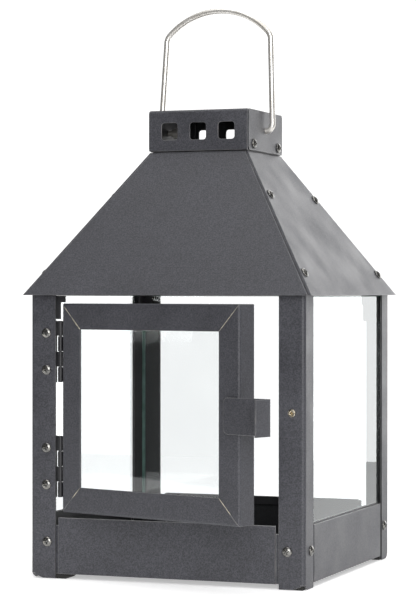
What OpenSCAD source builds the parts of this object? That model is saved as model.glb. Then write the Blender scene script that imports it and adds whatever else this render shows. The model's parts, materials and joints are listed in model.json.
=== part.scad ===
// Candle lantern of folded, powder coated sheet steel with glass panes, a
// hinged glazed door, a pyramid roof, a vented chimney cap and a wire bail.
// Millimetres. +X runs along the door side to the right, +Y to the back,
// +Z up. The origin is the middle of the base, at the ground.

/* [Body] */
// Width and depth over the corner posts
body_w = 190; // [180:1:200]
// Height of the roof's lower edge above the ground
eaves_z = 186.4; // [186:0.1:189]
// Width of each leg of a front post
post_leg = 17.6; // [16.5:0.1:18.5]
// Width of each leg of a rear post
rear_leg = 16; // [15.5:0.1:18.5]
// Thickness of the body sheet
sheet = 1.5; // [1.2:0.1:1.6]
// Thickness of the fixed panes
pane_t = 2; // [1.8:0.1:2.2]

/* [Tray] */
// Height of the tray's lower edge above the ground
tray_z = 3.4; // [3:0.1:4]
// Height of the tray's upper edge above the ground
tray_top = 40.3; // [38:0.1:40.5]
// Side of a square foot pad
foot_w = 16; // [14:0.5:20]

/* [Roof] */
// Overhang of the roof beyond the posts
overhang = 5.1; // [4:0.1:6]
// Rise of the roof for each millimetre inwards
slope = 1.477; // [1.47:0.001:1.55]

/* [Chimney cap] */
// Outer width of the square cap
cap_w = 71.8; // [71:0.1:74]
// Height of the cap's lower edge above the ground
cap_z = 283.3; // [283:0.1:285]
// Height of the cap's top above the ground
cap_top = 310.75; // [308:0.25:314]
// Side of a vent hole
vent_w = 11.5; // [9:0.5:13]
// Distance between the vent holes' centres
vent_pitch = 20.3; // [18:0.1:21]

/* [Bail] */
// Diameter of the bail wire
wire_d = 3.9; // [3:0.1:4]
// Height of the bail's pivot above the ground
pivot_z = 297.7; // [296:0.1:299]
// Height of the wire's centre line above the pivot, at the top of the arch
bail_rise = 83.8; // [75:0.1:90]
// Lean of the bail to the back as it rests, in degrees
bail_lean = 3.5; // [0:0.5:20]

/* [Door] */
// Opening of the door as it rests, in degrees
door_open = 18.3; // [0:0.1:120]
// Width of the door
door_w = 147.7; // [145:0.1:147.8]
// Height of the door's lower edge above the ground
door_z = 44.1; // [42:0.1:45]
// Height of the door's upper edge above the ground
door_top = 181; // [176:0.1:181.1]
// Width of the stiles
stile_w = 16.2; // [14:0.1:18]
// Width of the rails
rail_w = 17; // [14:0.1:18]
// Depth of the door's folded rim
rim_depth = 15; // [11:0.1:15.1]

/* [Hidden] */

$fn = 48;

COAT = [0.29, 0.29, 0.31];
COAT_DARK = [0.1, 0.1, 0.11];
GLASS = [0.8, 0.9, 0.9, 0.3];
STEEL = [0.78, 0.77, 0.74];
NICKEL = [0.8, 0.77, 0.66];
BLACK = [0.04, 0.04, 0.045];

half = body_w / 2;
inside = half - sheet;
bend_r = 2.5;
gap = 0.2;
fine = 0.05;

// Signs of x and y at the four corners
FRONT_LEFT = [-1, -1];
FRONT_RIGHT = [1, -1];
REAR_LEFT = [-1, 1];
REAR_RIGHT = [1, 1];
CORNERS = [FRONT_LEFT, FRONT_RIGHT, REAR_LEFT, REAR_RIGHT];

// Posts
post_z = 0.3;
post_top = 187.7;
notch_front = 8.5;
notch_side = 6;
foot_shift = 8;

// Tray
wall_end = half - post_leg - 2.1;
tab_end = inside - sheet - gap;
floor_t = 1.5;
screw_z = 24.3;
screw_in = 11.8;

// Panes and their channels
channel_t = 0.5;
pane_out = inside - channel_t - 0.1;
pane_in = pane_out - pane_t;
channel_z = 35.3;
channel_top = 41;
channel_half = wall_end - 1.8;
pane_z = channel_z + channel_t;
pane_top = 185.8;

// Brackets and rails under the roof
bracket_t = 1.2;
bracket_out = pane_in - gap;
bracket_front_z = [170.6, 181.6];
bracket_rear_z = [167.8, 179.3];
bracket_top = 186;
rail_z = 186.1;
rail_top = 204.6;
rail_t = 1.2;
rail_in = 82.5;
rail_out = 93.3;

// Roof
roof_t = 1.5;
eaves = half + overhang;
pitch = atan(slope);
skin = roof_t / sin(pitch);
lap = 1.6 / sin(pitch);
flange_w = 14;
flange_top = 279;
roof_top = 282.5;
roof_screw_z = [200.8, 252.5];
roof_screw_in = 7.8;
sliver_low = 2.8;
sliver_high = 0.9;

// Half width of the roof's outer surface at height z
function roof_half(z) = eaves - (z - eaves_z) / slope;

// Chimney cap
cap_half = cap_w / 2;
cap_t = 1.2;
cap_corner = 2.6;
vent_z = 296.4;
vent_r = 2;
collar_t = 1.3;
collar_out = cap_half - cap_t - 0.25;
collar_low = roof_half(roof_top) - skin - 0.35;
collar_ledge = 282.8;
collar_z = 276;
collar_top = 294;
cap_screw_y = 25;
cap_screw_z = 287.7;

// Bail: the bends lie in the plane of the wire
wire_r = wire_d / 2;
wire_step = 0.01;
wire_lap = 0.1;
bail_hole_r = wire_r + 0.08;
leg_x = 40.5;
foot_r = 4.6;
stub_x = 27.6;
lean_in = 2.5;
shoulder_r = 8;
arch_r = 49;
arch_z = bail_rise - arch_r;
// The shoulder's centre lies a radius inside the leg's line and on the
// circle that makes it run smoothly into the arch
foot_x = leg_x - foot_r;
leg_c = foot_x * cos(lean_in) + (foot_r - arch_z) * sin(lean_in) + foot_r - shoulder_r;
shoulder_reach = arch_r - shoulder_r;
shoulder_a = acos(leg_c / shoulder_reach) + lean_in;
shoulder_x = shoulder_reach * cos(shoulder_a);
shoulder_z = arch_z + shoulder_reach * sin(shoulder_a);
leg_len = (foot_x - shoulder_x) * sin(lean_in) + (shoulder_z - foot_r) * cos(lean_in);
keeper_r = 3.3;
keeper_len = 4.6;

// Door, in its own frame: the hinge axis is the z axis, the closed door
// runs along x and its front face looks along -y
hinge_x = -74.1;
hinge_y = -94.2;
door_x = 2.9;
door_y = -1.8;
door_t = 1.2;
door_bend = 1.8;
mitre = 0.12;
door_pane = 2;
pull_from = 135.8;
pull_to = 172.6;
pull_z = 100.7;
pull_h = 22.8;
pull_lip = 15.6;
pull_t = 1.2;

// Hinges
barrel_r = 1.7;
pin_r = 0.9;
hinge_h = 40.4;
hinge_low_z = 53.7;
hinge_high_z = 129.2;
knuckle = hinge_h / 4;
leaf_t = 1;
leaf_reach = 16;
hinge_screw_x = -83.7;
hinge_screw_in = 8.1;

// Magnet latch
latch_x = 86.1;
latch_z = 112;
button_r = 2.65;
button_h = 0.7;

// Pan head screw
head_r = 3.3;
head_h = 2.1;
shank_r = 1.65;
shank_len = 6;
roof_shank_len = 4.5;

// ---- Shared shapes ----

// A rectangle with round corners, centred
module round_rect(w, h, r) {
  square([w - 2 * r, h], center = true);
  square([w, h - 2 * r], center = true);
  for (x = [-1, 1], y = [-1, 1])
    translate([x * (w / 2 - r), y * (h / 2 - r)])
      circle(r);
}

// A folded angle with its outer corner at the origin and both legs positive
module angle_section(leg_a, leg_b, t, r) {
  translate([r, 0])
    square([leg_a - r, t]);
  translate([0, r])
    square([t, leg_b - r]);
  intersection() {
    square([r, r]);
    translate([r, r])
      difference() {
        circle(r);
        circle(r - t);
      }
  }
}

// Mirrors what stands in the front left corner into corner c
module at_corner(c) {
  mirror([c[0] > 0 ? 1 : 0, 0, 0])
    mirror([0, c[1] > 0 ? 1 : 0, 0])
      children();
}

// A pan head screw along z with the underside of its head at the origin and
// its shank down
module pan_screw(len = shank_len) {
  difference() {
    union() {
      intersection() {
        cylinder(h = head_h, r = head_r);
        translate([0, 0, head_h - 4.6])
          sphere(4.6);
      }
      translate([0, 0, -len])
        cylinder(h = len + fine, r = shank_r);
    }
    for (a = [0, 90])
      rotate([0, 0, a + 20])
        translate([-1.7, -0.35, head_h - 1.1])
          cube([3.4, 0.7, 2]);
  }
}

// A hole for a screw's shank along z
module screw_hole(len) {
  translate([0, 0, -len / 2])
    cylinder(h = len, r = shank_r + fine);
}

// Places something that points up so that it looks out of side s (0 front,
// 1 right, 2 rear, 3 left) at across, distance out and height z
module on_side(s, across, out, z) {
  rotate([0, 0, 90 * s])
    translate([across, -out, z])
      rotate([90, 0, 0])
        children();
}

// ---- Body ----

module base_tray_wall(s) {
  rotate([0, 0, 90 * s]) {
    translate([-wall_end, -half, tray_z])
      cube([2 * wall_end, sheet, tray_top - tray_z]);
    translate([-tab_end, -inside, tray_z])
      cube([2 * tab_end, sheet, channel_z - gap - tray_z]);
  }
}

module base_tray() {
  color(COAT)
  difference() {
    union() {
      difference() {
        union() {
          for (s = [0:3])
            base_tray_wall(s);
        }
        // Between the posts the wall is a single sheet
        translate([-wall_end + sheet, -inside, tray_z - 1])
          cube([2 * (wall_end - sheet), 2 * inside, 60]);
        translate([-inside, -wall_end + sheet, tray_z - 1])
          cube([2 * inside, 2 * (wall_end - sheet), 60]);
      }
      translate([-tab_end, -tab_end, tray_z])
        cube([2 * tab_end, 2 * tab_end, floor_t]);
      for (s = [0:3])
        rotate([0, 0, 90 * s])
          translate([-wall_end, -half, tray_z])
            cube([2 * wall_end, half - tab_end + 1, floor_t]);
    }
    for (s = [0:3], side = [-1, 1])
      on_side(s, side * (half - screw_in), inside, screw_z)
        screw_hole(12);
  }
}

module feet() {
  color(BLACK)
  for (c = CORNERS)
    at_corner(c)
      translate([-inside + gap + (c == FRONT_LEFT ? foot_shift : 0), -inside + gap, 0])
        difference() {
          cube([foot_w, foot_w, tray_z]);
          translate([foot_w, 0, 0])
            rotate([0, 45, 0])
              translate([-1.2, -1, -1.2])
                cube([2.4, foot_w + 2, 2.4]);
          translate([0, foot_w, 0])
            rotate([45, 0, 0])
              translate([-1, -1.2, -1.2])
                cube([foot_w + 2, 2.4, 2.4]);
        }
}

module post(c) {
  leg = c[1] > 0 ? rear_leg : post_leg;
  color(COAT)
  difference() {
    at_corner(c)
      translate([-half, -half, post_z])
        difference() {
          linear_extrude(height = post_top - post_z)
            angle_section(leg, leg, sheet, bend_r);
          translate([0, 3, -post_z])
            rotate([90, 0, 0])
              linear_extrude(height = 10)
                polygon([[-1, -1], [notch_front, -1], [notch_front, post_z],
                  [0, tray_z], [-1, tray_z]]);
          translate([3, 0, -post_z])
            rotate([90, 0, -90])
              linear_extrude(height = 10)
                polygon([[1, -1], [-notch_side, -1], [-notch_side, post_z],
                  [0, tray_z], [1, tray_z]]);
        }
    for (s = [0:3], side = [-1, 1])
      on_side(s, side * (half - screw_in), half, screw_z)
        screw_hole(10);
    for (z = [hinge_low_z, hinge_high_z], end = [hinge_screw_in, hinge_h - hinge_screw_in])
      on_side(0, hinge_screw_x, half, z + end)
        screw_hole(10);
    on_side(0, latch_x, half, latch_z)
      translate([0, 0, -5])
        cylinder(h = 10, r = 1.3 + fine);
  }
}

module post_front_left() { post(FRONT_LEFT); }
module post_front_right() { post(FRONT_RIGHT); }
module post_rear_left() { post(REAR_LEFT); }
module post_rear_right() { post(REAR_RIGHT); }

module base_screws() {
  color(BLACK)
  for (s = [0:3], side = [-1, 1])
    on_side(s, side * (half - screw_in), half, screw_z)
      pan_screw();
}

// ---- Fixed glazing ----

module pane_channel(s) {
  color(COAT_DARK)
  rotate([0, 0, 90 * s])
    translate([-channel_half, -inside, channel_z]) {
      cube([2 * channel_half, inside - pane_in + channel_t + gap, channel_t]);
      cube([2 * channel_half, channel_t, channel_top - channel_z]);
      translate([0, inside - pane_in + gap, 0])
        cube([2 * channel_half, channel_t, channel_top - channel_z]);
    }
}

module pane_channel_left() { pane_channel(3); }
module pane_channel_right() { pane_channel(1); }
module pane_channel_rear() { pane_channel(2); }

module pane(s, from, to) {
  color(GLASS)
  rotate([0, 0, 90 * s])
    translate([from, -pane_out, pane_z])
      cube([to - from, pane_t, pane_top - pane_z]);
}

module glass_left() { pane(3, -pane_out, 91); }
module glass_right() { pane(1, -91, pane_out); }
module glass_rear() { pane(2, -pane_in + gap, pane_in - gap); }

// ---- Frame under the roof ----

// An angle behind a post's top, inside the panes, with a longer tongue at its
// upper end. x_ends holds the lengths of the lower part and of the tongue, and
// the front right one stays behind the post, out of the door's way
module corner_bracket(c, x_ends) {
  rear = c[1] > 0;
  z = rear ? bracket_rear_z : bracket_front_z;
  y_out = rear ? bracket_out : inside;
  y_end = (rear ? rear_leg : post_leg) - 0.6;
  color(COAT_DARK)
  at_corner(c)
    translate([-bracket_out, -y_out, 0])
      for (k = [0, 1])
        translate([0, 0, z[k]])
          linear_extrude(height = (k == 0 ? z[1] : bracket_top) - z[k])
            angle_section(x_ends[k] - half + bracket_out, y_end - half + y_out,
              bracket_t, bend_r - sheet + 0.4);
}

module corner_bracket_front_left() { corner_bracket(FRONT_LEFT, [20.6, 24]); }
module corner_bracket_front_right() { corner_bracket(FRONT_RIGHT, [17, 17]); }
module corner_bracket_rear_left() { corner_bracket(REAR_LEFT, [11.1, 11.1]); }
module corner_bracket_rear_right() { corner_bracket(REAR_RIGHT, [17.3, 18.5]); }

// A rail that covers a pane's upper edge and carries the roof's underside
module top_rail(s) {
  long = s % 2 == 0 ? rail_out : rail_in - gap;
  tall = s % 2 == 0 ? rail_in + rail_t : rail_in - gap;
  color(COAT_DARK)
  rotate([0, 0, 90 * s]) {
    translate([-long, -rail_out, rail_z])
      cube([2 * long, rail_out - rail_in, rail_t]);
    translate([-tall, -rail_in - rail_t, rail_z])
      cube([2 * tall, rail_t, rail_top - rail_z]);
  }
}

module top_rail_front() { top_rail(0); }
module top_rail_right() { top_rail(1); }
module top_rail_rear() { top_rail(2); }
module top_rail_left() { top_rail(3); }

// ---- Roof ----

// The sloping sheet of one side as a bar across the whole width, its outer
// surface moved in by inset
module slope_bar(inset, t) {
  rotate([90, 0, 90])
    translate([0, 0, -eaves])
      linear_extrude(height = 2 * eaves)
        polygon([[-eaves + inset, eaves_z],
          [-roof_half(roof_top) + inset, roof_top],
          [-roof_half(roof_top) + inset + t, roof_top],
          [-eaves + inset + t, eaves_z]]);
}

// A prism through the whole roof with its outline in the plane of one side
module roof_outline(points) {
  translate([0, eaves + 1, 0])
    rotate([90, 0, 0])
      linear_extrude(height = 2 * eaves + 2)
        polygon(points);
}

module roof_screw_places(side) {
  for (z = roof_screw_z, end = [-1, 1])
    rotate([0, 0, 90 * side])
      translate([end * (roof_half(z) - roof_screw_in), -roof_half(z), z])
        rotate([pitch, 0, 0])
          children();
}

// Front or rear sheet: a sloping face with a flange folded back along each
// hip, under the side sheets
module roof_face() {
  low = eaves - lap;
  high = roof_half(roof_top) - lap;
  intersection() {
    slope_bar(0, skin);
    roof_outline([[-low, eaves_z], [-high, roof_top], [high, roof_top], [low, eaves_z]]);
  }
  for (side = [-1, 1])
    mirror([side > 0 ? 1 : 0, 0, 0])
      rotate([0, 0, -90])
        intersection() {
          slope_bar(lap, skin);
          roof_outline([[eaves - 0.6, eaves_z], [roof_half(flange_top) - 0.6, flange_top],
            [roof_half(flange_top) - 10, flange_top], [eaves - flange_w - 4, eaves_z]]);
        }
}

module roof_front() {
  color(COAT)
  difference() {
    roof_face();
    for (side = [1, 3])
      roof_screw_places(side)
        screw_hole(12);
  }
}

module roof_rear() {
  color(COAT)
  rotate([0, 0, 180])
    difference() {
      roof_face();
      for (side = [1, 3])
        roof_screw_places(side)
          screw_hole(12);
    }
}

module roof_side(side) {
  low = eaves - sliver_low;
  high = roof_half(roof_top) - sliver_high;
  color(COAT)
  difference() {
    rotate([0, 0, 90 * side])
      intersection() {
        slope_bar(0, skin);
        roof_outline([[-low, eaves_z], [-high, roof_top], [high, roof_top], [low, eaves_z]]);
      }
    roof_screw_places(side)
      screw_hole(12);
  }
}

module roof_left() { roof_side(3); }
module roof_right() { roof_side(1); }

module roof_screws() {
  color(BLACK)
  for (side = [1, 3])
    roof_screw_places(side)
      pan_screw(roof_shank_len);
}

// ---- Chimney cap ----

module cap_screw_places() {
  for (s = [1, 3], y = [-1, 1])
    on_side(s, y * cap_screw_y, cap_half, cap_screw_z)
      children();
}

// A square tube centred on z
module square_tube(out, t, from, to) {
  difference() {
    translate([-out, -out, from])
      cube([2 * out, 2 * out, to - from]);
    translate([-out + t, -out + t, from - 1])
      cube([2 * (out - t), 2 * (out - t), to - from + 2]);
  }
}

// The square neck that joins the roof to the cap, with a ledge over the
// roof's upper edge
module roof_collar() {
  ledge_w = collar_out - collar_low + collar_t;
  color(COAT_DARK)
  difference() {
    union() {
      square_tube(collar_low, collar_t, collar_z, collar_ledge + collar_t);
      square_tube(collar_out, ledge_w, collar_ledge, collar_ledge + collar_t);
      square_tube(collar_out, collar_t, collar_ledge, collar_top);
    }
    // The vents stay clear
    for (x = [-1:1])
      translate([x * vent_pitch - vent_w / 2 - 1, -cap_half, vent_z - vent_w / 2 - 0.4])
        cube([vent_w + 2, 2 * cap_half, vent_w]);
    cap_screw_places()
      screw_hole(12);
  }
}

// Front, top and rear of the cap from one folded sheet
module cap_shell() {
  face_half = cap_half - 0.7;
  top_half = cap_half - cap_t - gap;
  color(COAT)
  difference() {
    union() {
      for (y = [-1, 1])
        translate([-face_half, y * (cap_half - cap_t / 2) - cap_t / 2, cap_z])
          cube([2 * face_half, cap_t, cap_top - cap_z - bend_r]);
      intersection() {
        translate([-face_half, 0, cap_top - bend_r])
          rotate([90, 0, 90])
            linear_extrude(height = 2 * face_half)
              difference() {
                union() {
                  for (y = [-1, 1])
                    translate([y * (cap_half - bend_r), 0])
                      circle(bend_r);
                  translate([-cap_half + bend_r, 0])
                    square([2 * (cap_half - bend_r), bend_r]);
                  translate([-cap_half, -1])
                    square([2 * cap_half, 1]);
                }
                for (y = [-1, 1])
                  translate([y * (cap_half - bend_r), 0])
                    circle(bend_r - cap_t);
                translate([-cap_half + bend_r, -10])
                  square([2 * (cap_half - bend_r), 10 + bend_r - cap_t]);
                translate([-cap_half + cap_t, -10])
                  square([2 * (cap_half - cap_t), 10]);
              }
        union() {
          translate([-top_half, -cap_half, cap_top - 10])
            cube([2 * top_half, 2 * cap_half, 20]);
          for (y = [-1, 1])
            translate([-face_half, y * (cap_half - cap_t / 2) - cap_t / 2, cap_top - 10])
              cube([2 * face_half, cap_t, 20]);
        }
      }
    }
    for (x = [-1:1])
      translate([x * vent_pitch, cap_half + 1, vent_z])
        rotate([90, 0, 0])
          linear_extrude(height = 2 * cap_half + 2)
            round_rect(vent_w, vent_w, vent_r);
  }
}

// A side of the cap with a stiffening flange behind the front and the rear
module cap_side(side) {
  plate_h = cap_top - cap_z;
  plate_half = cap_half - cap_t - 0.25;
  flange_t = 1;
  color(COAT)
  difference() {
    union() {
      rotate([0, 0, 90 * side])
        translate([0, -cap_half + cap_t, cap_z + plate_h / 2])
          rotate([90, 0, 0])
            linear_extrude(height = cap_t)
              round_rect(2 * plate_half, plate_h, cap_corner);
      rotate([0, 0, 90 * side])
        for (x = [-1, 1])
          translate([x * (plate_half - flange_t / 2) - flange_t / 2, -cap_half + cap_t / 2,
            cap_z + cap_corner + 9])
            cube([flange_t, 7, plate_h - 2 * cap_corner - 9.5]);
    }
    cap_screw_places()
      screw_hole(12);
    translate([0, 0, pivot_z])
      rotate([0, 90, 0])
        cylinder(h = 2 * cap_w, r = bail_hole_r, center = true);
  }
}

module cap_side_left() { cap_side(3); }
module cap_side_right() { cap_side(1); }

module cap_screws() {
  color(BLACK)
  cap_screw_places()
    pan_screw();
}

// ---- Bail ----

// Everything that swings with the bail, drawn upright with the pivot along x
// through the origin
module bail_place() {
  translate([0, 0, pivot_z])
    rotate([-bail_lean, 0, 0])
      children();
}

// An arc of the wire about c, in the plane of the bail
module wire_arc(c, r, from, sweep, tube_r) {
  translate([c[0], 0, c[1]])
    rotate([90, 0, 0])
      rotate([0, 0, from])
        rotate_extrude(angle = sweep)
          translate([r, 0])
            circle(tube_r);
}

// The tight bends are a hair thinner than the straight runs and the arch,
// which reach a little way into them
module half_bail() {
  translate([stub_x, 0, 0])
    rotate([0, 90, 0])
      cylinder(h = foot_x - stub_x + wire_lap, r = wire_r);
  wire_arc([foot_x, foot_r], foot_r, -90, 90 + lean_in, wire_r - wire_step);
  translate([foot_x + foot_r * cos(lean_in), 0, foot_r + foot_r * sin(lean_in)])
    rotate([0, -lean_in, 0])
      translate([0, 0, -wire_lap])
        cylinder(h = leg_len + 2 * wire_lap, r = wire_r);
  wire_arc([shoulder_x, shoulder_z], shoulder_r, lean_in, shoulder_a - lean_in,
    wire_r - wire_step);
}

module bail() {
  arch_lap = wire_lap / arch_r * 180 / PI;
  color(STEEL)
  bail_place() {
    for (side = [0, 1])
      mirror([side, 0, 0])
        half_bail();
    wire_arc([0, arch_z], arch_r, shoulder_a - arch_lap, 180 - 2 * shoulder_a + 2 * arch_lap,
      wire_r);
  }
}

// Push-on caps that keep the wire's ends in the cap's sides
module bail_keepers() {
  color(STEEL)
  bail_place()
    for (side = [-1, 1])
      translate([side * (stub_x + keeper_len / 2 - 0.6), 0, 0])
        rotate([0, side * 90, 0])
          difference() {
            cylinder(h = keeper_len, r = keeper_r, center = true);
            translate([0, 0, -keeper_len / 2 + 0.6])
              cylinder(h = keeper_len, r = wire_r);
          }
}

// ---- Door ----

// Puts the door's own frame on the hinge axis, at its resting angle
module door_place() {
  translate([hinge_x, hinge_y, 0])
    rotate([0, 0, -door_open])
      children();
}

// The four folded bars share this frame, cut along their mitres
module door_stile(latch) {
  x0 = door_x;
  x1 = door_x + door_w;
  z_mid_low = door_z + rail_w;
  z_mid_high = door_top - rail_w;
  color(COAT)
  door_place()
    translate([latch ? x0 + x1 : 0, 0, 0])
      mirror([latch ? 1 : 0, 0, 0])
        intersection() {
          translate([x0, door_y, door_z])
            linear_extrude(height = door_top - door_z)
              angle_section(stile_w, rim_depth, door_t, door_bend);
          translate([0, 50, 0])
            rotate([90, 0, 0])
              linear_extrude(height = 100)
                polygon([[x0 - 1, door_z], [x0, door_z + mitre],
                  [x0 + stile_w, z_mid_low + mitre], [x0 + stile_w, z_mid_high - mitre],
                  [x0, door_top - mitre], [x0 - 1, door_top]]);
        }
}

module door_stile_hinge() { door_stile(false); }
module door_stile_latch() { door_stile(true); }

module door_rail(top) {
  x0 = door_x;
  x1 = door_x + door_w;
  color(COAT)
  door_place()
    translate([0, 0, top ? door_z + door_top : 0])
      mirror([0, 0, top ? 1 : 0])
        intersection() {
          translate([x0, door_y, door_z])
            rotate([90, 0, 90])
              linear_extrude(height = door_w)
                angle_section(rim_depth, rail_w, door_t, door_bend);
          translate([0, 50, 0])
            rotate([90, 0, 0])
              linear_extrude(height = 100)
                polygon([[x0 + mitre, door_z - 1], [x0 + mitre, door_z],
                  [x0 + stile_w + mitre, door_z + rail_w],
                  [x1 - stile_w - mitre, door_z + rail_w],
                  [x1 - mitre, door_z], [x1 - mitre, door_z - 1]]);
        }
}

module door_rail_top() { door_rail(true); }
module door_rail_bottom() { door_rail(false); }

module door_glass() {
  edge = door_t + 0.9;
  color(GLASS)
  door_place()
    translate([door_x + edge, door_y + door_t, door_z + edge])
      cube([door_w - 2 * edge, door_pane, door_top - door_z - 2 * edge]);
}

// One bent tab that holds the pane against the frame, beside a flange
module glass_clip() {
  clip_t = 0.8;
  clip_h = 12;
  clip_y = door_y + door_t + door_pane;
  translate([door_t, clip_y, -clip_h / 2])
    cube([clip_t, 7, clip_h]);
  translate([door_t, clip_y, -clip_h / 2])
    cube([9, clip_t, clip_h]);
}

module door_glass_clips() {
  door_h = door_top - door_z;
  color(COAT_DARK)
  door_place() {
    for (z = [0.22, 0.78]) {
      translate([door_x, 0, door_z + z * door_h])
        glass_clip();
      translate([door_x + door_w, 0, door_z + z * door_h])
        mirror([1, 0, 0])
          glass_clip();
    }
    for (x = [0.3, 0.7]) {
      translate([door_x + x * door_w, 0, door_z])
        rotate([0, -90, 0])
          glass_clip();
      translate([door_x + x * door_w, 0, door_top])
        rotate([0, 90, 0])
          glass_clip();
    }
  }
}

// An angle plate on the latch stile: it laps over the post, where the magnet
// holds it, and its outer edge is folded forward for the fingers
module door_pull() {
  plate_w = pull_to - pull_from;
  corner_r = 4;
  color(COAT)
  door_place()
    translate([door_x + pull_to, door_y, pull_z])
      intersection() {
        rotate([0, 0, 180])
          linear_extrude(height = pull_h)
            angle_section(plate_w, pull_lip, pull_t, door_bend);
        translate([0, 50, 0])
          rotate([90, 0, 0])
            linear_extrude(height = 100) {
              translate([-plate_w + corner_r, 0])
                square([plate_w - corner_r + 1, pull_h]);
              translate([-plate_w, corner_r])
                square([plate_w, pull_h - 2 * corner_r]);
              for (z = [corner_r, pull_h - corner_r])
                translate([-plate_w + corner_r, z])
                  circle(corner_r);
            }
      }
}

// ---- Hinges ----

// Knuckles of one leaf: first is 0 for the door's and 1 for the post's
module knuckles(first) {
  for (k = [first, first + 2])
    translate([0, 0, k * knuckle + 0.15])
      difference() {
        cylinder(h = knuckle - 0.3, r = barrel_r);
        translate([0, 0, -1])
          cylinder(h = knuckle + 2, r = pin_r + (first == 1 ? 0.02 : fine));
      }
}

module post_leaf(z) {
  leaf_y = inside + hinge_y;
  edge = -(half - post_leg) - hinge_x + 0.3;
  color(COAT_DARK)
  translate([hinge_x, hinge_y, z])
    difference() {
      union() {
        knuckles(1);
        for (k = [1, 3])
          translate([edge - 1, -leaf_y, k * knuckle + 0.15])
            cube([1 - edge, leaf_t, knuckle - 0.3]);
        translate([-leaf_reach, -leaf_y, 0])
          cube([leaf_reach + edge, leaf_t, hinge_h]);
      }
      translate([0, 0, -1])
        cylinder(h = hinge_h + 2, r = pin_r + 0.02);
      for (end = [hinge_screw_in, hinge_h - hinge_screw_in])
        translate([hinge_screw_x - hinge_x, -leaf_y, end])
          rotate([90, 0, 0])
            screw_hole(10);
    }
}

// The door's leaf runs back along the outside of the hinge stile's flange
module door_leaf(z) {
  color(COAT_DARK)
  door_place()
    translate([0, 0, z])
      difference() {
        union() {
          knuckles(0);
          for (k = [0, 2])
            translate([0, barrel_r - leaf_t, k * knuckle + 0.15])
              cube([door_x, leaf_t, knuckle - 0.3]);
          translate([door_x - leaf_t, barrel_r - leaf_t, 0.15])
            cube([leaf_t, 8.5, hinge_h - 0.3]);
        }
        translate([0, 0, -1])
          cylinder(h = hinge_h + 2, r = pin_r + fine);
      }
}

module hinge_pin(z) {
  color(COAT_DARK)
  translate([hinge_x, hinge_y, z])
    cylinder(h = hinge_h, r = pin_r);
}

module hinge_upper_post_leaf() { post_leaf(hinge_high_z); }
module hinge_upper_door_leaf() { door_leaf(hinge_high_z); }
module hinge_upper_pin() { hinge_pin(hinge_high_z); }
module hinge_lower_post_leaf() { post_leaf(hinge_low_z); }
module hinge_lower_door_leaf() { door_leaf(hinge_low_z); }
module hinge_lower_pin() { hinge_pin(hinge_low_z); }

module hinge_screws() {
  color(BLACK)
  for (z = [hinge_low_z, hinge_high_z], end = [hinge_screw_in, hinge_h - hinge_screw_in])
    on_side(0, hinge_screw_x, half, z + end)
      pan_screw();
}

// ---- Magnet latch ----

module latch_magnet() {
  color(COAT_DARK)
  translate([latch_x, -inside, latch_z])
    rotate([-90, 0, 0])
      difference() {
        cylinder(h = 4, r = 3.5);
        translate([0, 0, -1])
          cylinder(h = 6, r = 1.3 + fine);
      }
}

// A hollow rivet that holds the magnet behind the post
module latch_button() {
  color(NICKEL)
  translate([latch_x, -half, latch_z])
    rotate([90, 0, 0])
      difference() {
        union() {
          cylinder(h = button_h, r1 = button_r, r2 = button_r - 0.4);
          translate([0, 0, -sheet - 4])
            cylinder(h = sheet + 4.1, r = 1.3);
        }
        translate([0, 0, -sheet - 3])
          cylinder(h = 10, r = 0.8);
        cylinder(h = 5, r1 = 0.6, r2 = 5);
      }
}

base_tray();
feet();
post_front_left();
post_front_right();
post_rear_left();
post_rear_right();
base_screws();
pane_channel_left();
pane_channel_right();
pane_channel_rear();
glass_left();
glass_right();
glass_rear();
corner_bracket_front_left();
corner_bracket_front_right();
corner_bracket_rear_left();
corner_bracket_rear_right();
top_rail_front();
top_rail_rear();
top_rail_left();
top_rail_right();
roof_front();
roof_rear();
roof_left();
roof_right();
roof_screws();
roof_collar();
cap_shell();
cap_side_left();
cap_side_right();
cap_screws();
bail();
bail_keepers();
door_stile_hinge();
door_stile_latch();
door_rail_top();
door_rail_bottom();
door_glass();
door_glass_clips();
door_pull();
hinge_upper_post_leaf();
hinge_upper_door_leaf();
hinge_upper_pin();
hinge_lower_post_leaf();
hinge_lower_door_leaf();
hinge_lower_pin();
hinge_screws();
latch_magnet();
latch_button();
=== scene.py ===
import json
import math

import bpy
from mathutils import Matrix, Vector


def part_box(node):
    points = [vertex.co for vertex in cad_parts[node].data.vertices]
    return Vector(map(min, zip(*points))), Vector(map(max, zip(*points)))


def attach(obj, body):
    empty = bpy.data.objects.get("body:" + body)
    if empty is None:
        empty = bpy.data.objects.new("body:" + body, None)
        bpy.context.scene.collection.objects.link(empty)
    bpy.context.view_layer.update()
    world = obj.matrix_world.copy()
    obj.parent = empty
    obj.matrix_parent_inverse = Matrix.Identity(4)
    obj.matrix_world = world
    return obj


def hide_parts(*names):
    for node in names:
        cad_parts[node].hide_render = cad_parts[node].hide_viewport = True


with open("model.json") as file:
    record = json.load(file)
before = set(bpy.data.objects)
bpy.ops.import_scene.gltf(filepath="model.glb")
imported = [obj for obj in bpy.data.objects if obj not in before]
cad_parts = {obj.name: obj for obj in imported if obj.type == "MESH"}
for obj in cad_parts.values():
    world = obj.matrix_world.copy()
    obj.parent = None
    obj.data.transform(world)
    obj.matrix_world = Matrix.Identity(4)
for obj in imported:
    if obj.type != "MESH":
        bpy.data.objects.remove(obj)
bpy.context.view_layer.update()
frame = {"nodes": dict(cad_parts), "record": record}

MM = 0.001

# Camera
CAMERA_PLACE = (0.5284, -1.4204, 0.1878)
CAMERA_YAW = 0.3599
CAMERA_PITCH = -0.0029
CAMERA_ROLL = 0.0006
CAMERA_LENS = 133.03
CAMERA_SENSOR = 36
CAMERA_NEAREST = 0.05

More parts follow.
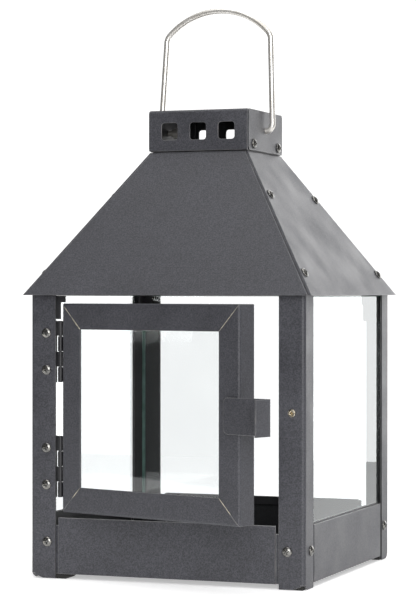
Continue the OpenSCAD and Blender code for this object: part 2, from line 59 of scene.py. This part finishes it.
# Studio: a lit floor, a bright backdrop, and dark at the front and the sides
FLOOR_GLOW = 0.46
BACK_LIGHT = 3.0
BACKDROP_SEEN = 1.2
SIDE_LIGHT = 0.1
LOBE_STARTS = 0.58
LOBE_FULL = 0.95
FLOOR_SIZE = 1.5
FLOOR_PLACE = (-0.05, 0.2, 0)

# Soft lights: place, the point they aim at, size and power
OVERHEAD = ((0.1, -0.1, 2.2), (0, 0, 0.2), (2.4, 2.4), 38)
KEY = ((0.87, -1.65, 0.82), (0, 0, 0.24), (1.1, 1.5), 34)

# Folded sheet
EDGE_WIDTH = 0.22 * MM
SMOOTH_ANGLE = math.radians(32)
MERGE_WITHIN = 0.002 * MM
FLAT_WITHIN = math.radians(0.2)
# The faces that look inwards take a darker copy of the coat, as painted shade
LOOKS_IN_BELOW = -0.3
SHADED_INSIDE_SLOT = 2

# Rounding of the other parts' edges
FITTING_EDGE = 0.16 * MM
PANE_CHAMFER = 0.3 * MM
PANE_FACE_SHARE = 0.5
SCREW_EDGE = 0.18 * MM
RIVET_EDGE = 0.12 * MM
MAGNET_EDGE = 0.3 * MM
PAD_EDGE = 0.5 * MM
KEEPER_EDGE = 0.3 * MM

# Door, in its own frame with the hinge axis as z and the closed door along x
DOOR_OPEN = math.radians(18.3)
DOOR_X = 2.9 * MM
DOOR_Y = -1.8 * MM
DOOR_W = 147.7 * MM
STILE_W = 16.2 * MM
RAIL_W = 17 * MM
SEAM_H = 0.24 * MM
SEAM_EDGE = 0.05 * MM
SEAM_SINK = 0.02 * MM
SEAM_CUTS = 6
SEAM_TAPER = 0.55
SEAM_RIPPLE = 0.16
RIPPLES = 17

# Bail, as upright about its pivot
WIRE_R = 1.95 * MM
LEG_X = 40.5 * MM
FOOT_R = 4.6 * MM
STUB_X = 27.6 * MM
LEAN_IN = math.radians(2.5)
SHOULDER_R = 8 * MM
ARCH_R = 49 * MM
BAIL_RISE = 83.8 * MM
BAIL_LEAN = math.radians(3.5)
PIVOT_Z = 297.7 * MM
WIRE_SMOOTH_ANGLE = math.radians(50)


# ---- Working in edit and object mode ----

def take(*pieces):
    """Only these pieces are selected, and the first is active."""
    take_nothing()
    for piece in pieces:
        piece.select_set(True)
    bpy.context.view_layer.objects.active = pieces[0]


def take_nothing():
    """Object mode, with nothing selected."""
    if bpy.context.mode != "OBJECT":
        bpy.ops.object.mode_set(mode="OBJECT")
    bpy.ops.object.select_all(action="DESELECT")


def apply_modifier(piece, kind, **settings):
    """Adds one modifier with these settings and puts its result into the mesh."""
    take(piece)
    bpy.ops.object.modifier_add(type=kind)
    modifier = piece.modifiers[-1]
    for name, value in settings.items():
        setattr(modifier, name, value)
    bpy.ops.object.modifier_apply(modifier=modifier.name)


def bevel_edges(piece, width, segments=2, angle=35, material=-1):
    """Bevels the edges that turn by more than angle, in degrees."""
    apply_modifier(piece, "BEVEL", width=width, segments=segments, limit_method="ANGLE",
                   angle_limit=math.radians(angle), use_clamp_overlap=False, material=material)
    take(piece)
    bpy.ops.object.shade_smooth_by_angle(angle=SMOOTH_ANGLE)
    apply_modifier(piece, "WEIGHTED_NORMAL", mode="FACE_AREA", weight=100, keep_sharp=True)


def copy_node(node, name):
    """A copy of a CAD node's mesh with its loose triangles merged into flat faces."""
    piece = bpy.data.objects.new(name, frame["nodes"][node].data.copy())
    bpy.context.scene.collection.objects.link(piece)
    piece.data.materials.clear()
    take(piece)
    bpy.ops.mesh.customdata_custom_splitnormals_clear()
    bpy.ops.object.mode_set(mode="EDIT")
    bpy.ops.mesh.select_all(action="SELECT")
    bpy.ops.mesh.remove_doubles(threshold=MERGE_WITHIN)
    bpy.ops.mesh.dissolve_limited(angle_limit=FLAT_WITHIN)
    bpy.ops.object.mode_set(mode="OBJECT")
    return piece


def give(piece, *materials):
    """The piece has these materials and no others."""
    piece.data.materials.clear()
    for material in materials:
        piece.data.materials.append(material)


def hand_over(piece, body, slot, *nodes):
    """The finished piece rides on its body and stands for its CAD nodes."""
    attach(piece, body)
    if nodes:
        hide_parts(*nodes)


# ---- Materials ----

class Nodes:
    """A material's node tree and short ways to fill it."""

    def __init__(self, name):
        self.material = bpy.data.materials.new(name)
        self.material.use_nodes = True
        self.tree = self.material.node_tree
        self.shader = self.tree.nodes["Principled BSDF"]

    def add(self, kind, **settings):
        node = self.tree.nodes.new("ShaderNode" + kind)
        for name, value in settings.items():
            setattr(node, name, value)
        return node

    def link(self, source, target):
        self.tree.links.new(source, target)

    def place(self, scale=(1, 1, 1), source="Object"):
        coords = self.add("TexCoord")
        mapping = self.add("Mapping")
        mapping.inputs["Scale"].default_value = scale
        self.link(coords.outputs[source], mapping.inputs["Vector"])
        return mapping.outputs["Vector"]

    def noise(self, place, scale, detail=2.0, roughness=0.5, distortion=0.0):
        node = self.add("TexNoise")
        node.inputs["Scale"].default_value = scale
        node.inputs["Detail"].default_value = detail
        node.inputs["Roughness"].default_value = roughness
        node.inputs["Distortion"].default_value = distortion
        self.link(place, node.inputs["Vector"])
        return node.outputs["Fac"]

    def spread(self, value, low, high, out_low, out_high):
        node = self.add("MapRange")
        node.inputs["From Min"].default_value = low
        node.inputs["From Max"].default_value = high
        node.inputs["To Min"].default_value = out_low
        node.inputs["To Max"].default_value = out_high
        self.link(value, node.inputs["Value"])
        return node.outputs["Result"]

    def ramp(self, value, *stops):
        node = self.add("ValToRGB")
        while len(node.color_ramp.elements) < len(stops):
            node.color_ramp.elements.new(0.5)
        for element, (position, colour) in zip(node.color_ramp.elements, stops):
            element.position = position
            element.color = (*colour, 1)
        self.link(value, node.inputs["Fac"])
        return node.outputs["Color"]

    def mix(self, factor, first, second, blend="MIX"):
        node = self.add("Mix", data_type="RGBA", blend_type=blend)
        sockets = (node.inputs["Factor"], node.inputs[6], node.inputs[7])
        for socket, value in zip(sockets, (factor, first, second)):
            if isinstance(value, bpy.types.NodeSocket):
                self.link(value, socket)
            elif isinstance(value, tuple):
                socket.default_value = (*value, 1)
            else:
                socket.default_value = value
        return node.outputs[2]

    def bump(self, height, strength, distance, under=None):
        node = self.add("Bump")
        node.inputs["Strength"].default_value = strength
        node.inputs["Distance"].default_value = distance
        self.link(height, node.inputs["Height"])
        if under is not None:
            self.link(under, node.inputs["Normal"])
        return node.outputs["Normal"]

    def surface(self, colour=None, roughness=None, normal=None, **fixed):
        for name, source in (("Base Color", colour), ("Roughness", roughness), ("Normal", normal)):
            if source is not None:
                self.link(source, self.shader.inputs[name])
        for name, value in fixed.items():
            self.shader.inputs[name.replace("_", " ")].default_value = value
        return self.material


def powder_coat(name, dark, light, rough=(0.4, 0.56)):
    """Baked powder paint: a fine orange peel with small lighter grains in it."""
    n = Nodes(name)
    place = n.place()
    grain = n.noise(place, 1300, detail=3, roughness=0.7)
    peel = n.noise(place, 420, detail=2)
    cloud = n.noise(place, 38, detail=4)
    speckle = n.spread(grain, 0.4, 0.62, 0, 1)
    base = n.mix(speckle, dark, light)
    tone = n.ramp(cloud, (0.3, (0.86, 0.86, 0.86)), (0.7, (1.08, 1.08, 1.08)))
    colour = n.mix(1.0, base, tone, blend="MULTIPLY")
    roughness = n.spread(cloud, 0.25, 0.75, *rough)
    coarse = n.bump(peel, 0.35, 0.12 * MM)
    fine = n.bump(grain, 0.4, 0.06 * MM, under=coarse)
    return n.surface(colour, roughness, fine, IOR=1.5)


def worn_edge_and_painted_highlight():
    """The paint runs thin on an edge and shines more; the edge is also painted lighter, as a
    painted highlight.
    """
    n = Nodes("coat_on_edges_painted_highlight")
    place = n.place()
    patches = n.noise(place, 90, detail=5, roughness=0.7)
    grain = n.noise(place, 1500, detail=3)
    # Lighter colours on the bevels: thin, worn paint and a painted highlight
    colour = n.ramp(patches, (0.35, (0.085, 0.085, 0.09)), (0.55, (0.16, 0.158, 0.16)),
                    (0.75, (0.27, 0.26, 0.25)))
    roughness = n.spread(patches, 0.3, 0.7, 0.45, 0.3)
    return n.surface(colour, roughness, n.bump(grain, 0.3, 0.05 * MM), IOR=1.5)


def black_fittings():
    """Flat black paint on the parts inside and on the hinges."""
    n = Nodes("black_fittings")
    place = n.place()
    grain = n.noise(place, 900, detail=3)
    cloud = n.noise(place, 60, detail=4)
    colour = n.ramp(cloud, (0.3, (0.009, 0.009, 0.011)), (0.7, (0.022, 0.022, 0.024)))
    roughness = n.spread(cloud, 0.3, 0.7, 0.38, 0.55)
    return n.surface(colour, roughness, n.bump(grain, 0.3, 0.06 * MM), IOR=1.5)


def pale_mitre_bead():
    """Pale, patchy metallic beads where two bars meet."""
    n = Nodes("pale_mitre_bead")
    place = n.place()
    patches = n.noise(place, 160, detail=5, roughness=0.7)
    fine = n.noise(place, 2200, detail=2)
    colour = n.ramp(patches, (0.36, (0.1, 0.098, 0.095)), (0.5, (0.5, 0.46, 0.36)),
                    (0.7, (0.86, 0.8, 0.66)))
    roughness = n.spread(fine, 0.3, 0.7, 0.5, 0.3)
    return n.surface(colour, roughness, n.bump(fine, 0.4, 0.04 * MM), Metallic=0.35)


def clear_pane(name, tint, dust):
    """Float glass: it mirrors more at a slant, and carries a trace of dust."""
    n = Nodes(name)
    n.tree.nodes.remove(n.shader)
    place = n.place()
    smear = n.noise(place, 28, detail=4, roughness=0.6, distortion=0.6)
    film = n.ramp(smear, (0.35, tint), (0.75, tuple(c * dust for c in tint)))
    through = n.add("BsdfTransparent")
    n.link(film, through.inputs["Color"])
    mirror = n.add("BsdfAnisotropic")
    mirror.inputs["Color"].default_value = (0.96, 0.98, 0.98, 1)
    n.link(n.spread(smear, 0.3, 0.8, 0.01, 0.05), mirror.inputs["Roughness"])
    # The outer face mirrors for both faces of the pane, so its index is raised
    fresnel = n.add("Fresnel")
    fresnel.inputs["IOR"].default_value = 1.8
    outer = n.add("Math", operation="SUBTRACT", use_clamp=True)
    n.link(fresnel.outputs["Fac"], outer.inputs[0])
    n.link(n.add("NewGeometry").outputs["Backfacing"], outer.inputs[1])
    both = n.add("MixShader")
    n.link(outer.outputs["Value"], both.inputs["Fac"])
    n.link(through.outputs["BSDF"], both.inputs[1])
    n.link(mirror.outputs["BSDF"], both.inputs[2])
    n.link(both.outputs["Shader"], n.tree.nodes["Material Output"].inputs["Surface"])
    return n.material


def glass_edge():
    """The ground edge of a pane, green from the depth of glass behind it."""
    n = Nodes("ground_glass_edge")
    place = n.place()
    cloud = n.noise(place, 120, detail=4)
    ground = n.noise(place, 2600, detail=2)
    colour = n.ramp(cloud, (0.3, (0.09, 0.2, 0.17)), (0.7, (0.2, 0.36, 0.31)))
    roughness = n.spread(ground, 0.3, 0.7, 0.25, 0.5)
    return n.surface(colour, roughness, n.bump(ground, 0.3, 0.03 * MM), IOR=1.5)


def drawn_wire():
    """Stainless wire with the fine lines of the drawing die along it."""
    n = Nodes("drawn_stainless_wire")
    lines = n.noise(n.place((3, 90, 1), "UV"), 6, detail=4, roughness=0.7)
    cloud = n.noise(n.place(), 55, detail=4, roughness=0.6)
    warm = n.ramp(cloud, (0.32, (0.66, 0.63, 0.58)), (0.52, (0.8, 0.78, 0.74)),
                  (0.75, (0.88, 0.87, 0.85)))
    shade = n.ramp(lines, (0.3, (0.86, 0.85, 0.84)), (0.65, (1, 1, 1)))
    colour = n.mix(1.0, warm, shade, blend="MULTIPLY")
    roughness = n.spread(lines, 0.3, 0.7, 0.3, 0.42)
    return n.surface(colour, roughness, n.bump(lines, 0.08, 0.04 * MM), Metallic=0.75)


def black_screw():
    """Black oxide on steel, rubbed through to grey in places."""
    n = Nodes("black_oxide_screws")
    place = n.place()
    cloud = n.noise(place, 420, detail=4, roughness=0.65)
    fine = n.noise(place, 2400, detail=2)
    colour = n.ramp(cloud, (0.35, (0.1, 0.1, 0.1)), (0.6, (0.24, 0.235, 0.22)),
                    (0.8, (0.36, 0.32, 0.27)))
    roughness = n.spread(cloud, 0.3, 0.7, 0.14, 0.28)
    return n.surface(colour, roughness, n.bump(fine, 0.2, 0.03 * MM), Metallic=0.9)


def nickel():
    """Warm, slightly dull nickel plate."""
    n = Nodes("nickel_plate")
    place = n.place()
    cloud = n.noise(place, 500, detail=4)
    colour = n.ramp(cloud, (0.35, (0.6, 0.52, 0.38)), (0.7, (0.82, 0.76, 0.64)))
    roughness = n.spread(cloud, 0.3, 0.7, 0.2, 0.36)
    return n.surface(colour, roughness, n.bump(cloud, 0.15, 0.03 * MM), Metallic=1.0)


def rubber():
    """Black rubber with a coarse, dull grain."""
    n = Nodes("foot_rubber")
    place = n.place()
    grain = n.noise(place, 800, detail=4, roughness=0.7)
    colour = n.ramp(grain, (0.3, (0.008, 0.008, 0.008)), (0.75, (0.022, 0.021, 0.02)))
    roughness = n.spread(grain, 0.3, 0.7, 0.7, 0.92)
    return n.surface(colour, roughness, n.bump(grain, 0.5, 0.1 * MM))


def ferrite():
    """Dark, dull sintered magnet."""
    n = Nodes("ferrite")
    place = n.place()
    grain = n.noise(place, 1800, detail=4, roughness=0.7)
    colour = n.ramp(grain, (0.3, (0.02, 0.02, 0.021)), (0.75, (0.06, 0.058, 0.056)))
    roughness = n.spread(grain, 0.3, 0.7, 0.5, 0.75)
    return n.surface(colour, roughness, n.bump(grain, 0.4, 0.05 * MM))


COAT = powder_coat("powder_coat", (0.026, 0.0265, 0.0315), (0.066, 0.0665, 0.078))
# A darker copy of the coat for the faces that look inwards: painted shade inside the lantern
COAT_PAINTED_SHADE = powder_coat("powder_coat_painted_shade", (0.006, 0.0065, 0.0075), (0.014, 0.015, 0.017))
EDGE = worn_edge_and_painted_highlight()
FITTINGS = black_fittings()
SEAM = pale_mitre_bead()
PANE = clear_pane("clear_glass", (0.968, 0.975, 0.976), 0.988)
PANE_EDGE = glass_edge()
WIRE = drawn_wire()
SCREW = black_screw()
NICKEL = nickel()
RUBBER = rubber()
FERRITE = ferrite()


# ---- Folded sheet ----

def looks_in(face):
    """True for a face that looks towards the lantern's upright axis."""
    out = Vector((face.center.x, face.center.y, 0)).normalized()
    return face.normal.dot(out) < LOOKS_IN_BELOW


def sheet_piece(node, body="lantern", inside=True):
    """A folded sheet with rounded edges, painted lighter for thin paint and as a painted
    highlight, and a painted shade on its darker inner side.
    """
    piece = copy_node(node, node + "_sheet")
    give(piece, COAT, EDGE, COAT_PAINTED_SHADE)
    # Faces that look inwards take the darker coat, a painted shade
    if inside:
        for face in piece.data.polygons:
            if looks_in(face):
                face.material_index = SHADED_INSIDE_SLOT
    # The bevels take the lighter edge coat: wear and a painted highlight
    bevel_edges(piece, EDGE_WIDTH, material=1)
    hand_over(piece, body, "powder_coat", node)


def body_sheets():
    """The tray, the posts, the roof's sheets and the chimney cap."""
    for node in ("base_tray", "post_front_left", "post_front_right", "post_rear_left",
                 "post_rear_right", "roof_front", "roof_rear", "roof_left", "roof_right",
                 "cap_shell", "cap_side_left", "cap_side_right"):
        sheet_piece(node)


def black_parts():
    """Channels, brackets, rails, the collar, the hinges and the door pane's clips."""
    for node in ("pane_channel_left", "pane_channel_right", "pane_channel_rear",
                 "corner_bracket_front_left", "corner_bracket_front_right",
                 "corner_bracket_rear_left", "corner_bracket_rear_right", "top_rail_front",
                 "top_rail_rear", "top_rail_left", "top_rail_right", "roof_collar",
                 "hinge_upper_post_leaf", "hinge_lower_post_leaf", "hinge_upper_pin",
                 "hinge_lower_pin", "hinge_upper_door_leaf", "hinge_lower_door_leaf",
                 "door_glass_clips"):
        piece = copy_node(node, node + "_steel")
        give(piece, FITTINGS, EDGE)
        bevel_edges(piece, FITTING_EDGE, material=0)
        body = "door" if "door" in node else "lantern"
        hand_over(piece, body, "inner_fittings", node)


# ---- Panes ----

def pane_piece(node, body="lantern"):
    """A pane, clear on its two broad faces and ground at its edges."""
    piece = copy_node(node, node + "_pane")
    give(piece, PANE, PANE_EDGE)
    largest = max(face.area for face in piece.data.polygons)
    for face in piece.data.polygons:
        face.material_index = 0 if face.area > PANE_FACE_SHARE * largest else 1
    bevel_edges(piece, PANE_CHAMFER, segments=1, material=1)
    hand_over(piece, body, "clear_glass", node)


# ---- Small parts ----

def small_parts():
    """Screws, the rivet, the magnet, the foot pads and the caps on the bail's ends."""
    for node, body, material, slot, width in (
            ("base_screws", "lantern", SCREW, "black_screws", SCREW_EDGE),
            ("roof_screws", "lantern", SCREW, "black_screws", SCREW_EDGE),
            ("cap_screws", "lantern", SCREW, "black_screws", SCREW_EDGE),
            ("hinge_screws", "lantern", SCREW, "black_screws", SCREW_EDGE),
            ("latch_button", "lantern", NICKEL, "nickel_rivet", RIVET_EDGE),
            ("latch_magnet", "lantern", FERRITE, "magnet", MAGNET_EDGE),
            ("feet", "lantern", RUBBER, "foot_rubber", PAD_EDGE),
            ("bail_keepers", "bail", WIRE, "stainless_wire", KEEPER_EDGE)):
        piece = copy_node(node, node + "_detailed")
        give(piece, material)
        bevel_edges(piece, width, angle=30)
        hand_over(piece, body, slot, node)


# ---- Bail ----

def arc(centre, radius, start, sweep, steps):
    """Points along an arc of this sweep, its two ends with them."""
    return [(centre[0] + radius * math.cos(start + sweep * k / steps),
             centre[1] + radius * math.sin(start + sweep * k / steps))
            for k in range(steps + 1)]


def bail_line():
    """Half of the wire's centre line in its own plane, from the stub to the top."""
    arch_z = BAIL_RISE - ARCH_R
    foot_x = LEG_X - FOOT_R
    leg_c = (foot_x * math.cos(LEAN_IN) + (FOOT_R - arch_z) * math.sin(LEAN_IN)
             + FOOT_R - SHOULDER_R)
    reach = ARCH_R - SHOULDER_R
    turn = math.acos(leg_c / reach) + LEAN_IN
    shoulder = (reach * math.cos(turn), arch_z + reach * math.sin(turn))
    points = [(STUB_X, 0), ((STUB_X + foot_x) / 2, 0)]
    points += arc((foot_x, FOOT_R), FOOT_R, -math.pi / 2, math.pi / 2 + LEAN_IN, 12)
    points += arc(shoulder, SHOULDER_R, LEAN_IN, turn - LEAN_IN, 10)
    points += arc((0, arch_z), ARCH_R, turn, math.pi / 2 - turn, 24)[1:]
    return points


def bail_wire():
    """The whole wire: half of its line and its mirror image, leaning as it rests."""
    half = bail_line()
    points = half + [(-x, z) for x, z in reversed(half[:-1])]
    curve = bpy.data.curves.new("bail_wire", "CURVE")
    curve.dimensions = "3D"
    curve.bevel_depth = WIRE_R
    curve.bevel_resolution = 8
    curve.use_fill_caps = True
    spline = curve.splines.new("POLY")
    spline.points.add(len(points) - 1)
    lean = Matrix.Translation((0, 0, PIVOT_Z)) @ Matrix.Rotation(-BAIL_LEAN, 4, "X")
    for point, (x, z) in zip(spline.points, points):
        point.co = (*(lean @ Vector((x, 0, z))), 1)
    piece = bpy.data.objects.new("bail_wire", curve)
    bpy.context.scene.collection.objects.link(piece)
    take(piece)
    bpy.ops.object.convert(target="MESH")
    piece = bpy.context.view_layer.objects.active
    bpy.ops.object.shade_smooth_by_angle(angle=WIRE_SMOOTH_ANGLE)
    give(piece, WIRE)
    hand_over(piece, "bail", "stainless_wire", "bail")


# ---- Door ----

def door_bars():
    """The door's stiles and rails, and the pull."""
    for node in ("door_stile_hinge", "door_stile_latch", "door_rail_top", "door_rail_bottom",
                 "door_pull"):
        sheet_piece(node, body="door", inside=False)


def door_matrix():
    """From the door's own frame to the lantern's, as the door rests."""
    for joint in frame["record"]["behaviour"]["joints"]:
        if joint["name"] == "door_hinge":
            x, y, _ = joint["pos_m"]
    return Matrix.Translation((x, y, 0)) @ Matrix.Rotation(-DOOR_OPEN, 4, "Z")


def mitre_seam(name, outer, inner, start, end, width):
    """A low, pale bead in a mitre, from start to end of its length."""
    line = Vector(inner) - Vector(outer)
    take_nothing()
    bpy.ops.mesh.primitive_cube_add(size=1, location=(0, 0, 0))
    piece = bpy.context.active_object
    piece.name = name
    bpy.ops.object.mode_set(mode="EDIT")
    bpy.ops.mesh.subdivide(number_cuts=SEAM_CUTS, smoothness=0)
    bpy.ops.object.mode_set(mode="OBJECT")
    middle = Vector(outer) + line * (start + end) / 2
    turn = math.atan2(line.y, line.x)
    # The bead swells and thins along its length
    for vertex in piece.data.vertices:
        along = vertex.co.x
        swell = 1 - SEAM_TAPER * (2 * abs(along)) ** 3 + SEAM_RIPPLE * math.sin(RIPPLES * along)
        vertex.co.y *= width * swell
        vertex.co.z *= SEAM_H * (0.6 + 0.4 * swell)
        vertex.co.x = along * line.length * (end - start)
    flat = Matrix.Translation((middle.x, DOOR_Y - SEAM_SINK, middle.y))
    stand = flat @ Matrix.Rotation(math.pi / 2, 4, "X") @ Matrix.Rotation(turn, 4, "Z")
    piece.matrix_world = door_matrix() @ stand
    take(piece)
    bpy.ops.object.transform_apply(location=True, rotation=True, scale=True)
    give(piece, SEAM)
    bevel_edges(piece, SEAM_EDGE)
    hand_over(piece, "door", "powder_coat")


def mitre_seams():
    """Five beads, one or two in each corner of the door: their ends are shares of
    the mitre's length from the door's outer corner."""
    low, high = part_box("door_stile_hinge")
    left, right = DOOR_X, DOOR_X + DOOR_W
    for name, x, side, z, up, start, end, width in (
            ("top_left", left, 1, high[2], -1, 0.12, 0.55, 0.28 * MM),
            ("top_left_inner", left, 1, high[2], -1, 0.55, 0.97, 0.8 * MM),
            ("top_right", right, -1, high[2], -1, 0.02, 0.97, 0.34 * MM),
            ("bottom_left", left, 1, low[2], 1, 0.55, 0.98, 0.4 * MM),
            ("bottom_right", right, -1, low[2], 1, 0.42, 0.98, 0.42 * MM)):
        outer = (x, z)
        inner = (x + side * STILE_W, z + up * RAIL_W)
        mitre_seam("door_seam_" + name, outer, inner, start, end, width)


# ---- Stage ----

def studio_floor():
    """A small lit table, so that the panes mirror the dark room past its edge."""
    take_nothing()
    bpy.ops.mesh.primitive_plane_add(size=FLOOR_SIZE, location=FLOOR_PLACE)
    floor = bpy.context.active_object
    floor.name = "studio_floor"
    n = Nodes("studio_white")
    cloud = n.noise(n.place(), 3, detail=2)
    colour = n.ramp(cloud, (0.3, (0.9, 0.9, 0.9)), (0.7, (0.92, 0.92, 0.92)))
    n.link(colour, n.shader.inputs["Emission Color"])
    give(floor, n.surface(colour, Roughness=0.9, Emission_Strength=FLOOR_GLOW))


def soft_light(name, place, target, size, power):
    """A broad lamp at place that faces target."""
    data = bpy.data.lights.new(name, "AREA")
    data.shape = "RECTANGLE"
    data.size, data.size_y = size
    data.energy = power
    light = bpy.data.objects.new(name, data)
    light.location = place
    aim = Vector(target) - Vector(place)
    light.rotation_euler = aim.to_track_quat("-Z", "Y").to_euler()
    bpy.context.scene.collection.objects.link(light)


def studio_world():
    """A bright backdrop behind the lantern and dark elsewhere. Seen directly, or
    through the panes, it is an even white."""
    world = bpy.data.worlds.new("studio")
    bpy.context.scene.world = world
    world.use_nodes = True
    tree = world.node_tree
    coords = tree.nodes.new("ShaderNodeTexCoord")
    split = tree.nodes.new("ShaderNodeSeparateXYZ")
    tree.links.new(coords.outputs["Generated"], split.inputs["Vector"])
    lobe = tree.nodes.new("ShaderNodeMapRange")
    lobe.interpolation_type = "SMOOTHSTEP"
    lobe.inputs["From Min"].default_value = LOBE_STARTS
    lobe.inputs["From Max"].default_value = LOBE_FULL
    lobe.inputs["To Min"].default_value = SIDE_LIGHT
    lobe.inputs["To Max"].default_value = BACK_LIGHT
    tree.links.new(split.outputs["Y"], lobe.inputs["Value"])
    seen = tree.nodes.new("ShaderNodeMix")
    tree.links.new(tree.nodes.new("ShaderNodeLightPath").outputs["Is Camera Ray"],
                   seen.inputs["Factor"])
    tree.links.new(lobe.outputs["Result"], seen.inputs["A"])
    seen.inputs["B"].default_value = BACKDROP_SEEN
    tree.links.new(seen.outputs["Result"], tree.nodes["Background"].inputs["Strength"])
    tree.nodes["Background"].inputs["Color"].default_value = (1, 1, 1, 1)


def camera():
    """A long lens in front and to the right, level with the roof's lower edge."""
    data = bpy.data.cameras.new("camera")
    data.lens = CAMERA_LENS
    data.sensor_width = CAMERA_SENSOR
    data.clip_start = CAMERA_NEAREST
    view = bpy.data.objects.new("camera", data)
    bpy.context.scene.collection.objects.link(view)
    turn = (Matrix.Rotation(CAMERA_YAW, 4, "Z")
            @ Matrix.Rotation(math.pi / 2 + CAMERA_PITCH, 4, "X")
            @ Matrix.Rotation(CAMERA_ROLL, 4, "Z"))
    view.matrix_world = Matrix.Translation(CAMERA_PLACE) @ turn
    bpy.context.scene.camera = view


camera()
body_sheets()
black_parts()
for fixed_pane in ("glass_left", "glass_right", "glass_rear"):
    pane_piece(fixed_pane)
pane_piece("door_glass", body="door")
door_bars()
mitre_seams()
small_parts()
bail_wire()
studio_floor()
studio_world()
soft_light("overhead", *OVERHEAD)
soft_light("key", *KEY)
bpy.context.scene.view_settings.view_transform = "Standard"
